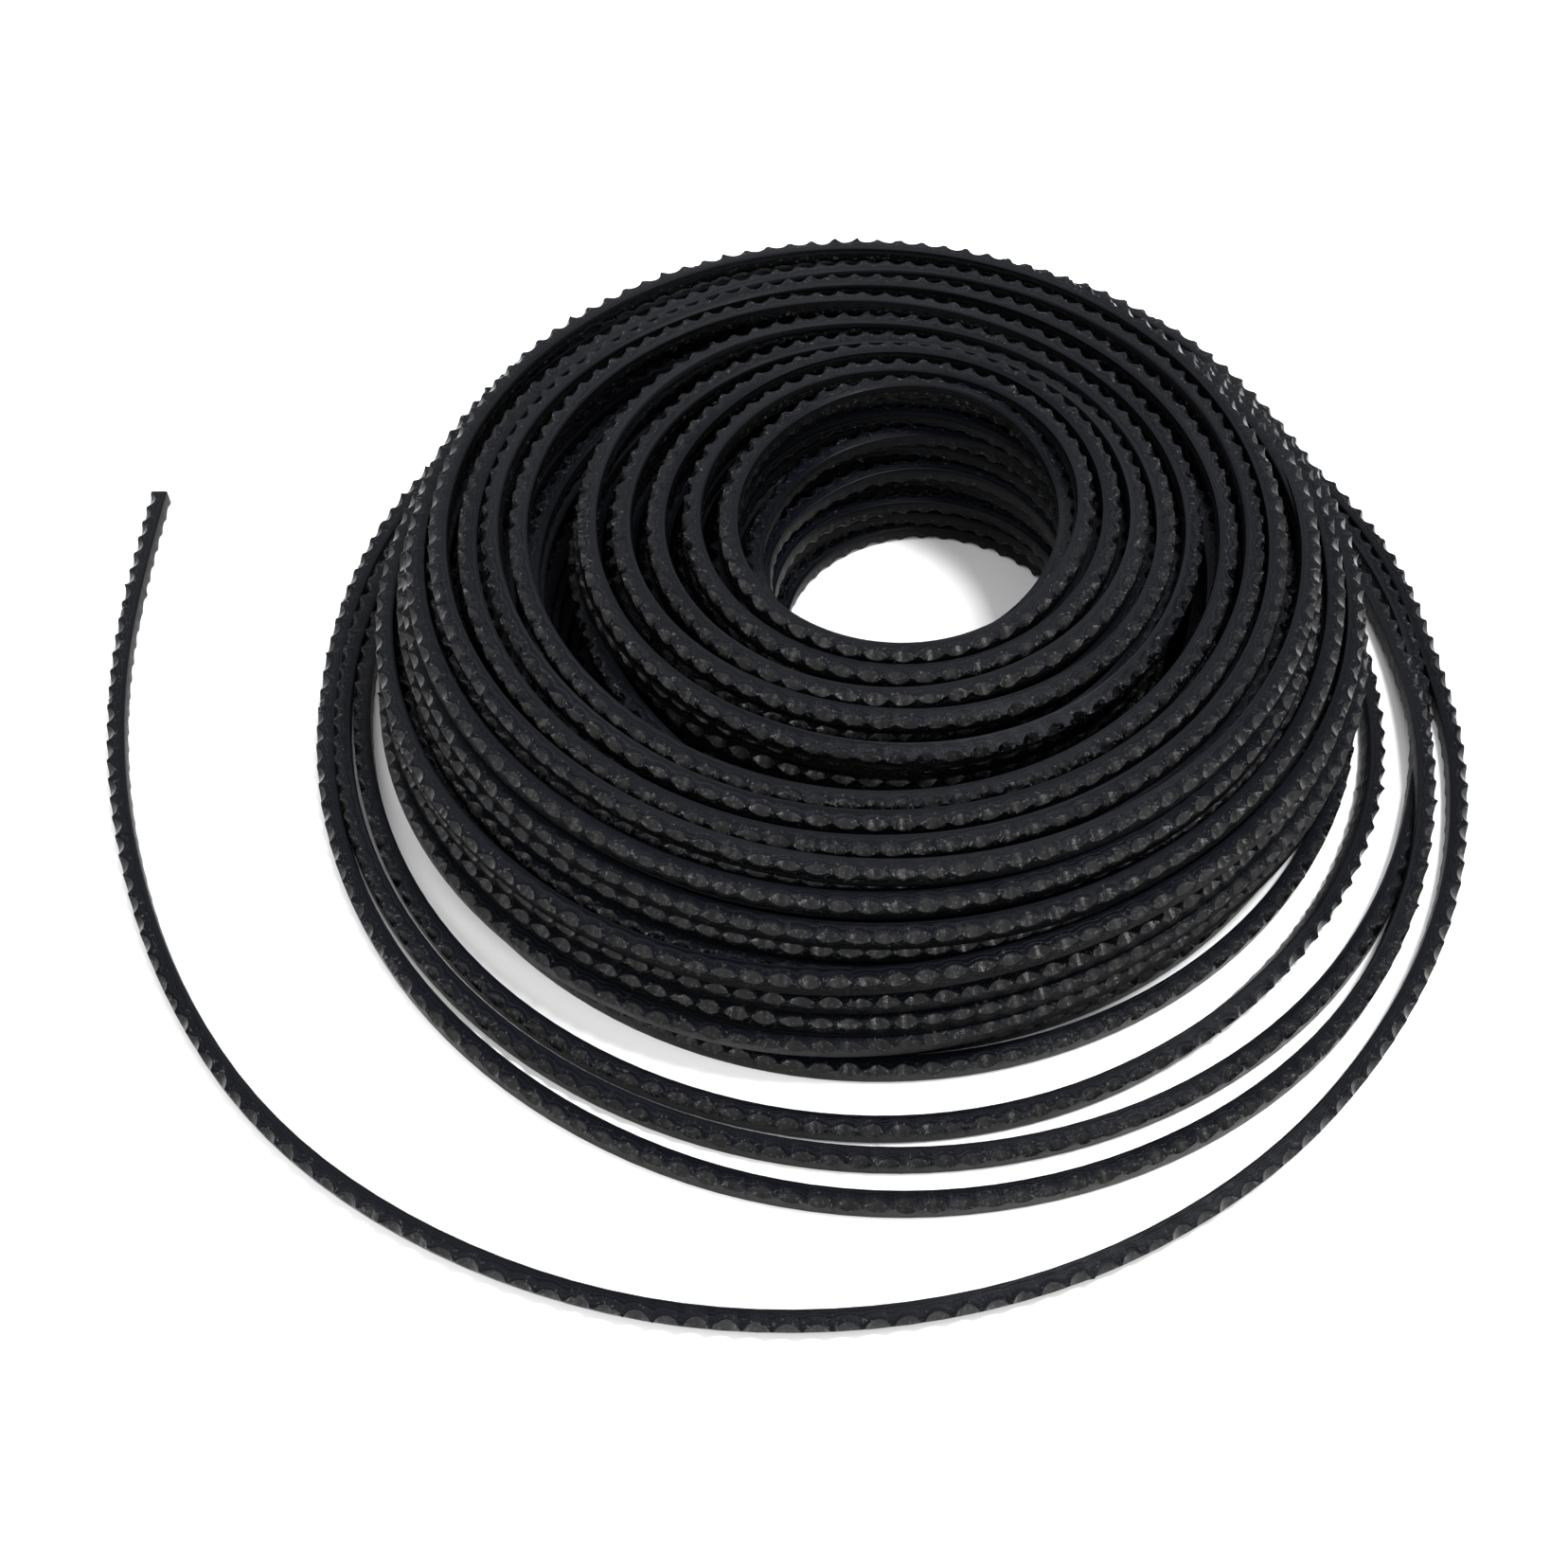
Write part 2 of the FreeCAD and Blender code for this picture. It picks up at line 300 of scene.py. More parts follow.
@dataclass(frozen=True)
class CutFace:
    """Glossy black face left by the notching tool, a little torn, with pale flecks at its lips that are
    partly torn rubber and partly painted glints.
    """

    colour: tuple[float, float, float] = (0.0008, 0.0008, 0.0012)
    # Pale torn colour: partly torn rubber, partly painted glints at the ragged lips.
    torn_and_glint_colour: tuple[float, float, float] = (0.06, 0.061, 0.06)
    roughness: float = 0.2

    def material(self) -> bpy.types.Material:
        """Build the material.

        Returns:
            The cut face's material.
        """
        material = bpy.data.materials.new("belting_cut_face")
        material.use_nodes = True
        make = TreeMaker(material.node_tree)
        shader = material.node_tree.nodes["Principled BSDF"]
        place = make.add("ShaderNodeTexCoord").outputs["Object"]
        tears = make.noise(place, 1500.0, 3.0, 0.65)
        cut = make.add("ShaderNodeAttribute", attribute_name="cut").outputs["Fac"]
        at_lip = make.math("SUBTRACT", 1.0, make.ramp(cut, 0.3, 1.3))
        # Pale flecks at the lips: partly torn rubber, partly painted glints.
        torn = make.math("MULTIPLY", make.ramp(tears, 0.56, 0.64), at_lip)
        bump = make.add("ShaderNodeBump", {"Height": tears, "Strength": 0.45, "Distance": 0.0002})
        patches = make.noise(place, 210.0, 2.0)
        rough = make.add("ShaderNodeMapRange", {"Value": patches, 1: 0.42, 2: 0.6, 3: self.roughness,
                                                4: self.roughness + 0.4}).outputs[0]
        make.tree.links.new(make.mix(torn, self.colour, self.torn_and_glint_colour), shader.inputs["Base Color"])
        make.tree.links.new(rough, shader.inputs["Roughness"])
        make.tree.links.new(bump.outputs[0], shader.inputs["Normal"])
        shader.inputs["Specular IOR Level"].default_value = 0.27
        return material


@dataclass(frozen=True)
class PaleFloor:
    """Plain pale surface under the coil."""

    colour: tuple[float, float, float] = (0.93, 0.93, 0.93)

    def material(self) -> bpy.types.Material:
        """Build the floor's material.

        Returns:
            The floor's material.
        """
        material = bpy.data.materials.new("pale_floor")
        material.use_nodes = True
        shader = material.node_tree.nodes["Principled BSDF"]
        shader.inputs["Base Color"].default_value = (*self.colour, 1.0)
        shader.inputs["Roughness"].default_value = 0.9
        shader.inputs["Specular IOR Level"].default_value = 0.0
        return material


# ------------------------------------------------------------------ the line's section

@dataclass
class Section:
    """Square section of the line, with two smooth and two notched corners.

    Its first axis points out of the coil and its second axis points down.
    """

    side: float = 3.6 * MM
    smooth_corner: float = 0.36 * MM
    land_corner: float = 0.3 * MM
    notch_hollow: float = 0.03
    lower_depth: float = 0.6

    def corner_points(self) -> list[tuple[float, float, float, float, float]]:
        """List the outline's points.

        Returns:
            For each point its place, its slide direction when a notch is cut, and 1
            where a notch can cut it.
        """
        half = self.side / 2.0
        corners = [(1, -1, 1.0), (1, 1, 0.0), (-1, 1, self.lower_depth), (-1, -1, 0.0)]
        points = []
        for x_sign, y_sign, depth in corners:
            setback = self.land_corner if depth else self.smooth_corner
            ways = [(-x_sign, 0.0), (0.0, -y_sign)]
            if x_sign * y_sign > 0:
                ways.reverse()
            middle = 1.0 - math.sqrt(0.5)
            places = [(way[0] * setback, way[1] * setback) for way in ways]
            places.insert(1, (-x_sign * setback * middle, -y_sign * setback * middle))
            hollow = 0.5 + self.notch_hollow
            slides = [ways[0], (-x_sign * hollow, -y_sign * hollow), ways[1]]
            for (dx, dy), (sx, sy) in zip(places, slides):
                place = (x_sign * half + dx, y_sign * half + dy)
                points.append((*place, sx * depth, sy * depth, float(depth > 0.0)))
        return points

    def build(self) -> bpy.types.Object:
        """Make the section as a closed ring of edges with its attributes.

        Returns:
            A helper object, to be removed after the sweep.
        """
        points = self.corner_points()
        count = len(points)
        mesh = bpy.data.meshes.new("section_ring")
        mesh.from_pydata([(p[0], p[1], 0.0) for p in points],
                         [(i, (i + 1) % count) for i in range(count)], [])
        place = mesh.attributes.new("section", "FLOAT_VECTOR", "POINT")
        place.data.foreach_set("vector", [v for p in points for v in (p[0], p[1], 0.0)])
        slide = mesh.attributes.new("slide", "FLOAT_VECTOR", "POINT")
        slide.data.foreach_set("vector", [v for p in points for v in (p[2], p[3], 0.0)])
        notched = mesh.attributes.new("notched", "FLOAT", "POINT")
        notched.data.foreach_set("value", [p[4] for p in points])
        ring = bpy.data.objects.new("section_ring", mesh)
        bpy.context.scene.collection.objects.link(ring)
        return ring


@dataclass
class NotchTool:
    """Sweeps the section along a path and cuts the row of notches in it."""

    pitch: float = 4.82 * MM
    rings_per_notch: int = 7
    land_rings: int = 1
    setback: float = 1.12 * MM
    spread: float = 0.26
    burr: float = 0.16 * MM
    sliver: float = 0.42 * MM
    sliver_share: float = 0.035
    seed: int = 11

    def tree(self) -> bpy.types.NodeTree:
        """Build the sweep's node tree.

        Returns:
            A geometry node group with named inputs.
        """
        group = bpy.data.node_groups.new("notched_line", "GeometryNodeTree")
        face = group.interface
        face.new_socket("Path", in_out="INPUT", socket_type="NodeSocketGeometry")
        for name, kind in (("Section", "Object"), ("Rings", "Int"), ("Setback", "Float"),
                           ("Spread", "Float"), ("Burr", "Float"), ("Seed", "Int"),
                           ("Skin", "Material"), ("Cut", "Material")):
            face.new_socket(name, in_out="INPUT", socket_type="NodeSocket" + kind)
        face.new_socket("Line", in_out="OUTPUT", socket_type="NodeSocketGeometry")
        make = TreeMaker(group)
        given = make.add("NodeGroupInput").outputs
        curve = make.add("GeometryNodeMeshToCurve", {0: given["Path"]}).outputs[0]
        curve = make.add("GeometryNodeResampleCurve", {"Curve": curve, "Count": given["Rings"]},
                         mode="COUNT").outputs[0]
        curve = make.add("GeometryNodeSetCurveNormal", {"Curve": curve}, mode="Z_UP").outputs[0]
        curve = make.add("GeometryNodeSetCurveTilt", {"Curve": curve, "Tilt": make.named("roll")}).outputs[0]
        curve = self._mark_rings(make, curve, given)
        ring = make.add("GeometryNodeObjectInfo", {0: given["Section"]}).outputs["Geometry"]
        ring = make.add("GeometryNodeMeshToCurve", {0: ring}).outputs[0]
        swept = make.add("GeometryNodeCurveToMesh", {0: curve, 1: ring, "Fill Caps": True}).outputs[0]
        swept = self._cut(make, swept)
        swept = make.add("GeometryNodeRealizeInstances", {0: swept}).outputs[0]
        swept = make.add("GeometryNodeSetMaterial", {"Geometry": swept, "Material": given["Skin"]}).outputs[0]
        inside = make.math("MULTIPLY", make.math("GREATER_THAN", make.named("notched"), 0.9),
                           make.math("GREATER_THAN", make.named("cut"), 0.05))
        swept = make.add("GeometryNodeSetMaterial", {"Geometry": swept, "Selection": inside,
                                                     "Material": given["Cut"]}).outputs[0]
        make.add("NodeGroupOutput", {0: swept})
        return group

    def _mark_rings(self, make: TreeMaker, curve: bpy.types.NodeSocket,
                    given: bpy.types.bpy_prop_collection) -> bpy.types.NodeSocket:
        """Store on each ring how deep its notch is and which ways are out and down.

        Args:
            make: the helper for the sweep's tree.
            curve: the resampled line.
            given: the group's input sockets.

        Returns:
            The curve with its attributes.
        """
        index = make.add("GeometryNodeInputIndex").outputs[0]
        rings = float(self.rings_per_notch)
        place = make.math("FLOORED_MODULO", index, rings)
        number = make.math("FLOOR", make.math("DIVIDE", index, rings))
        cut_rings = float(self.rings_per_notch - self.land_rings)
        across = make.math("DIVIDE", make.math("SUBTRACT", place, float(self.land_rings)), cut_rings)
        centred = make.math("SUBTRACT", make.math("MULTIPLY", across, 2.0), 1.0)
        bowl = make.math("MAXIMUM", make.math("SUBTRACT", 1.0, make.math("MULTIPLY", centred, centred)), 0.0)
        low = make.math("SUBTRACT", 1.0, given["Spread"])
        high = make.math("ADD", 1.0, given["Spread"])
        vary = make.add("FunctionNodeRandomValue", {2: low, 3: high, "ID": number, "Seed": given["Seed"]},
                        data_type="FLOAT").outputs[1]
        depth = make.math("MULTIPLY", make.math("MULTIPLY", bowl, vary), given["Setback"])
        at_edge = make.math("ADD", make.math("COMPARE", place, 0.0, 0.1),
                            make.math("COMPARE", place, float(self.land_rings), 0.1))
        raised = make.add("FunctionNodeRandomValue", {2: 0.0, 3: given["Burr"], "ID": index,
                                                      "Seed": given["Seed"]}, data_type="FLOAT").outputs[1]
        moved = make.math("SUBTRACT", depth, make.math("MULTIPLY", at_edge, raised))
        luck = make.add("FunctionNodeRandomValue", {2: 0.0, 3: 1.0, "ID": index, "Seed": given["Seed"]},
                        data_type="FLOAT").outputs[1]
        torn = make.math("GREATER_THAN", luck, 1.0 - self.sliver_share)
        moved = make.math("SUBTRACT", moved, make.math("MULTIPLY", torn, self.sliver))
        out = make.add("GeometryNodeInputNormal").outputs[0]
        tangent = make.add("GeometryNodeInputTangent").outputs[0]
        down = make.vector_math("CROSS_PRODUCT", {0: tangent, 1: out})
        length = make.add("GeometryNodeSplineParameter").outputs["Length"]
        for name, kind, value in (("cut", "FLOAT", bowl), ("moved", "FLOAT", moved),
                                  ("along", "FLOAT", length),
                                  ("out_way", "FLOAT_VECTOR", out), ("down_way", "FLOAT_VECTOR", down)):
            curve = make.add("GeometryNodeStoreNamedAttribute", {"Geometry": curve, "Name": name,
                                                                 "Value": value},
                             data_type=kind, domain="POINT").outputs[0]
        return curve

    def _cut(self, make: TreeMaker, swept: bpy.types.NodeSocket) -> bpy.types.NodeSocket:
        """Slide the notched corners' points along their faces.

        Args:
            make: the helper for the sweep's tree.
            swept: the plain swept line.

        Returns:
            The notched line, without the helper attributes.
        """
        parts = make.add("ShaderNodeSeparateXYZ", {0: make.named("slide", "FLOAT_VECTOR")}).outputs
        out = make.vector_math("SCALE", {0: make.named("out_way", "FLOAT_VECTOR"), "Scale": parts[0]})
        down = make.vector_math("SCALE", {0: make.named("down_way", "FLOAT_VECTOR"), "Scale": parts[1]})
        both = make.vector_math("ADD", {0: out, 1: down})
        offset = make.vector_math("SCALE", {0: both, "Scale": make.named("moved")})
        swept = make.add("GeometryNodeSetPosition", {"Geometry": swept, "Offset": offset}).outputs[0]
        for name in ("out_way", "down_way", "slide", "moved", "roll"):
            swept = make.add("GeometryNodeRemoveAttribute", {"Geometry": swept, "Name": name}).outputs[0]
        return swept


# ------------------------------------------------------------------ the winding

@dataclass
class Winding:
    """Route of the whole line, from the tail's cut end to the end on top of the coil.

    Heights and places are in metres, measured from the middle of the stack.
    """

    side: float = 3.6 * MM
    layers: int = 10
    layer_rise: float = 4.2 * MM
    points_per_turn: int = 24
    eye_half_width: float = 30.0 * MM
    eye_extra_depth: float = 5.8 * MM
    inner_reach: float = 56.2 * MM
    band_spread: float = 4.8 * MM
    inner_turns: float = 5.0
    inner_follow: float = 0.65
    base_radius: float = 99.2 * MM
    rim_radius: float = 82.2 * MM
    rim_curve: float = 2.9
    outer_pitch: float = 4.9 * MM
    valley_layers: int = 3
    rim_turns: float = 3.5
    crossing: float = 0.3
    eye_tilt: float = math.radians(20.0)
    eye_base: tuple[float, float] = (10.2 * MM, 8.0 * MM)
    eye_top: tuple[float, float] = (2.85 * MM, 7.8 * MM)
    rim_base: tuple[float, float] = (-0.8 * MM, 1.8 * MM)
    rim_top: tuple[float, float] = (-4.8 * MM, 6.5 * MM)
    slump: float = 2.2 * MM
    slack_side: float = 306.0
    slack_reach: float = 58.0
    slack_settle: float = 1.8 * MM
    slack_in: float = 10.5 * MM
    far_side: float = 122.0
    far_reach: float = 48.0
    far_in: float = 6.0 * MM
    back_side: float = 72.0
    back_reach: float = 66.0
    back_out: float = 2.4 * MM
    rim_offset: float = 0.35
    part_gap: float = 5.5 * MM
    rim_far_in: float = 3.4 * MM
    slack_layers: float = 7.0
    end_turns: float = 0.34
    end_start: float = 1.7 * MM
    end_spread: float = 12.0 * MM
    end_drop: float = 15.0 * MM
    slope_side: float = 301.0
    slope_reach: float = 60.0
    slope_share: float = 0.85
    slope_lean: float = math.radians(21.0)
    slope_drop: float = 2.0 * MM
    radial_wobble: float = 0.62 * MM
    rise_wobble: float = 0.4 * MM
    twist_wobble: float = math.radians(8.0)
    heap_drop: float = 0.5 * MM
    loose_twist: float = math.radians(7.0)
    loose_lean: float = math.radians(34.0)
    crossing_lift: float = 0.2 * MM
    tail_roll: float = math.radians(20.0)

    TAIL: ClassVar[list[tuple[float, float]]] = [
        (-0.1607, 0.0500), (-0.1605, 0.0200), (-0.1570, -0.0120), (-0.1485, -0.0440),
        (-0.1328, -0.0780), (-0.1095, -0.1075), (-0.0785, -0.1280), (-0.0430, -0.1398),
        (-0.0060, -0.1410), (0.0295, -0.1328), (0.0620, -0.1145), (0.0870, -0.0895),
        (0.1052, -0.0600), (0.1142, -0.0275), (0.1145, 0.0),
    ]

    LOOSE: ClassVar[list[tuple[float, float]]] = [
        (0, 114.5), (22, 115.0), (45, 113.8), (90, 112.8), (135, 115.2), (160, 115.0), (180, 113.6),
        (225, 117.6),
        (270, 120.3), (315, 116.6), (345, 109.4), (360, 107.2), (405, 106.4), (450, 107.4),
        (495, 109.4), (540, 110.8), (585, 112.4), (630, 112.2), (675, 110.8), (705, 109.2),
        (720, 111.0), (765, 111.2), (810, 110.2), (855, 107.8), (900, 106.9), (945, 107.8),
        (990, 106.4), (1020, 103.2), (1035, 101.6), (1050, 100.9), (1065, 100.6), (1080, 100.6),
    ]

    def __post_init__(self) -> None:
        """Prepare the waviness and the lists that hold the route."""
        self.radial = Wobble(seed=5)
        self.rise = Wobble(seed=8)
        self.twist = Wobble(seed=13, slowest=0.4, fastest=4.1)
        self.heap = Wobble(seed=21, slowest=0.3, fastest=1.5)
        self.angle = 0.0
        self.track: list[tuple[float, float, float, float, float, float]] = []
        self.starts: list[int] = []

    def share(self, layer: int) -> float:
        """How high a layer is, from 0 at the surface to 1 at the rim."""
        return layer / (self.layers - 1)

    def rim_at(self, layer: int) -> float:
        """Radius of a layer's outermost turn."""
        return self.base_radius + self.share(layer) ** self.rim_curve * (self.rim_radius - self.base_radius)

    def outer_turns(self, layer: int) -> float:
        """How many turns a layer has outside its inner part.

        Args:
            layer: which layer.

        Returns:
            The turns, in whole and half turns.
        """
        if layer >= self.layers - self.valley_layers:
            return self.rim_turns
        room = self.rim_at(layer) - self.inner_reach - self.part_gap
        return math.floor(room / self.outer_pitch * 2.0) / 2.0

    def centre(self, layer: int, half: Half) -> tuple[float, float]:
        """Centre of one half of a layer.

        Args:
            layer: which layer.
            half: its eye half or its rim half.

        Returns:
            The centre's place.
        """
        base, top = (self.eye_base, self.eye_top) if half is Half.EYE else (self.rim_base, self.rim_top)
        share = self.share(layer)
        return (base[0] + share * (top[0] - base[0]), base[1] + share * (top[1] - base[1]))

    def reach(self, layer: int) -> float:
        """Outer radius of a layer's inner part, which is looser on top."""
        return self.inner_reach + self.band_spread * ease((layer - 5.0) / 3.0)

    def eye_radius(self, layer: int, turns_out: float) -> float:
        """Radius in the eye half, a number of turns out from the eye, at the present angle.

        Args:
            layer: which layer.
            turns_out: turns counted out from the eye.

        Returns:
            The radius, in metres.
        """
        out = turns_out / self.inner_turns
        deepest = self.eye_extra_depth * self.share(layer)
        depth = deepest * (1.0 - out) * math.sin(self.angle + self.eye_tilt) ** 2
        return self.eye_half_width + depth + (self.reach(layer) - self.eye_half_width) * out

    def slack(self, layer: int, turned: float) -> float:
        """How far a turn of the rim half is pushed out or in on the coil's slack side.

        Args:
            layer: which layer.
            turned: turns counted in from the rim.

        Returns:
            The push, outwards if positive.
        """
        degrees = math.degrees(self.angle) % 360.0
        share = hump(degrees, self.slack_side, self.slack_reach)
        far = hump(degrees, self.far_side, self.far_reach)
        if layer == 0 and turned < 2.0:
            return -self.slack_settle * share * (1.0 if turned < 1.0 else 1.6)
        outer = 1.0 - min(turned / self.outer_turns(layer), 1.0)
        near_in = self.slack_in * share * max(0.0, 1.0 - (layer / self.slack_layers) ** 2) * outer
        if layer == self.layers - 1:
            far_in = self.rim_far_in * ease((turned - 0.6) / 0.5)
        else:
            far_in = self.far_in * ease((layer - 1.0) / 3.0) * outer
        back = hump(degrees, self.back_side, self.back_reach) * ease((layer - 4.0) / 3.0) * outer
        return self.back_out * back - near_in - far_in * far

    def _wind(self, layer: int, turns: float, radius_at: Callable[[float], float],
              centre_at: Callable[[float], tuple[float, float]]) -> None:
        """Add points over some turns.

        Args:
            layer: which layer they lie in.
            turns: how far they wind.
            radius_at: gives the radius for a share of the stretch.
            centre_at: gives the centre for a share of the stretch.
        """
        steps = round(turns * self.points_per_turn)
        height = self.side / 2.0 + layer * self.layer_rise
        for step in range(steps):
            share = step / steps
            centre = centre_at(share)
            self.track.append((self.angle, radius_at(share), centre[0], centre[1], height, self.share(layer)))
            self.angle += FULL_TURN / self.points_per_turn

    def wind_layer(self, layer: int) -> None:
        """Wind one layer, inwards on even ones and outwards on odd ones.

        Args:
            layer: which layer.
        """
        way = Way.INWARDS if layer % 2 == 0 else Way.OUTWARDS
        outer = self.outer_turns(layer)
        rim = self.rim_at(layer)
        eye_centre = self.centre(layer, Half.EYE)
        rim_centre = self.centre(layer, Half.RIM)

        def between(part: float) -> tuple[float, float]:
            """Place part of the way from the eye's centre to the rim's."""
            return (eye_centre[0] + part * (rim_centre[0] - eye_centre[0]),
                    eye_centre[1] + part * (rim_centre[1] - eye_centre[1]))

        def outer_radius(share: float) -> float:
            """Radius along the rim half."""
            turned = share * outer if way is Way.INWARDS else (1.0 - share) * outer
            return rim - (turned - self.rim_offset) * self.outer_pitch + self.slack(layer, turned)

        def inner_radius(share: float) -> float:
            """Radius along the eye half."""
            turned = (1.0 - share) * self.inner_turns if way is Way.INWARDS else share * self.inner_turns
            return self.eye_radius(layer, turned)

        def inner_centre(share: float) -> tuple[float, float]:
            """Centre along the eye half, which follows the rim's centre as it winds out."""
            return between(self.inner_follow * (1.0 - share if way is Way.INWARDS else share))

        def cross(share: float) -> float:
            """Share of the way from the eye half to the rim half."""
            return ease(1.0 - share if way is Way.INWARDS else share)

        def crossing_radius(share: float) -> float:
            """Radius where the line crosses between the halves."""
            start = self.reach(layer)
            return start + cross(share) * (rim - (outer - self.rim_offset) * self.outer_pitch - start)

        def crossing_centre(share: float) -> tuple[float, float]:
            """Centre where the line crosses between the halves."""
            return between(self.inner_follow + (1.0 - self.inner_follow) * cross(share))

        stretches = [(outer, outer_radius, lambda share: rim_centre),
                     (self.crossing, crossing_radius, crossing_centre),
                     (self.inner_turns, inner_radius, inner_centre)]
        if way is Way.OUTWARDS:
            stretches.reverse()
        self.starts.append(len(self.track))
        for turns, radius_at, centre_at in stretches:
            self._wind(layer, turns, radius_at, centre_at)

    def on_slope(self, angle: float, radius: float, share: float) -> float:
        """How far a point lies on the slope into the valley, where turns lean outwards.

        Args:
            angle: radians wound so far.
            radius: distance from the half's centre.
            share: how high the layer is.

        Returns:
            1 on the slope, 0 away from it.
        """
        if share < self.slope_share:
            return 0.0
        side = hump(math.degrees(angle) % 360.0, self.slope_side, self.slope_reach)
        return side * ease((radius - 49.0 * MM) / (7.0 * MM)) * ease((71.0 * MM - radius) / (5.0 * MM))

    def wind_end(self) -> None:
        """Lay the last of the line down the far side of the coil, where it ends."""
        centre = self.centre(self.layers - 1, Half.RIM)
        steps = round(self.end_turns * self.points_per_turn)
        top = self.side / 2.0 + (self.layers - 1) * self.layer_rise
        for step in range(steps):
            share = step / steps
            radius = self.rim_radius + self.end_start + self.end_spread * ease(share)
            height = top - self.end_drop * ease(share)
            self.track.append((self.angle, radius, centre[0], centre[1], height, 1.0))
            self.angle += FULL_TURN / self.points_per_turn

    def loose_points(self) -> list[tuple[float, float, float, float]]:
        """Control points of the loose turns on the surface.

        Returns:
            For each point its place and the line's roll there.
        """
        points = []
        step = 360.0 / self.points_per_turn
        fuller = 1.0 / self.chord_factor()
        count = round(1080.0 / step)
        for number in range(1, count):
            degrees = number * step
            radius = smooth_between(self.LOOSE, degrees) * MM * fuller
            angle = math.radians(degrees)
            over = hump(degrees, 345.0, 26.0) + hump(degrees, 838.0, 40.0)
            roll = self.loose_twist * self.twist.at(angle * 1.7 + 40.0) * (1.0 - over)
            roll += self.loose_lean * hump(degrees, 1038.0, 46.0)
            height = self.lying_height(roll) + over * (self.side + self.crossing_lift)
            points.append((radius * math.cos(angle), radius * math.sin(angle), height, roll))
        return points

    def lying_height(self, roll: float) -> float:
        """Height of the line's centre where it lies on the surface, rolled by an angle."""
        return self.side / 2.0 * (math.cos(roll) + abs(math.sin(roll)))

    def chord_factor(self) -> float:
        """How far a quadratic spline shrinks a circle of control points."""
        return 0.75 + 0.25 * math.cos(FULL_TURN / self.points_per_turn)

    def tail_points(self) -> list[tuple[float, float, float, float]]:
        """Control points of the free tail, from its cut end.

        Returns:
            For each point its place and the line's roll there.
        """
        points = []
        for number, (x, y) in enumerate(self.TAIL):
            roll = self.tail_roll * hump(number, 7.5, 4.5)
            points.append((x, y, self.lying_height(roll), roll))
        return points

    def stack_points(self) -> list[tuple[float, float, float, float]]:
        """Control points of all the stacked layers.

        Returns:
            For each point its place and the line's roll there.
        """
        for layer in range(self.layers):
            self.wind_layer(layer)
        self.wind_end()
        track = np.array(self.track)
        kernel = np.array([1.0, 4.0, 6.0, 4.0, 1.0]) / 16.0
        reach = len(kernel) // 2
        for column in (1, 2, 3, 4):
            padded = np.pad(track[:, column], reach, mode="edge")
            track[:, column] = np.convolve(padded, kernel, mode="valid")
        fuller = 1.0 / self.chord_factor()
        points = []
        for angle, radius, x, y, height, share in track:
            near = max(0.0, -math.sin(angle)) * ease((radius - 50.0 * MM) / (25.0 * MM))
            on_slope = self.on_slope(angle, radius, share)
            radius = radius * fuller + self.radial_wobble * self.radial.at(angle)
            roll = self.twist_wobble * self.twist.at(angle) + self.slope_lean * on_slope
            height += self.rise_wobble * self.rise.at(angle) - self.slope_drop * on_slope
            height -= self.heap_drop * share * (1.0 + self.heap.at(angle))
            height = max(height - self.slump * near * share * share, self.lying_height(roll))
            points.append((x + radius * math.cos(angle), y + radius * math.sin(angle), height, roll))
        return points


@dataclass
class Stretch:
    """One stretch of the line that becomes a piece of its own."""

    name: str
    first: int
    last: int
    stands_for: tuple[str, ...]
    length: float
    lay: str
    far_end: str
    from_end: bool = False


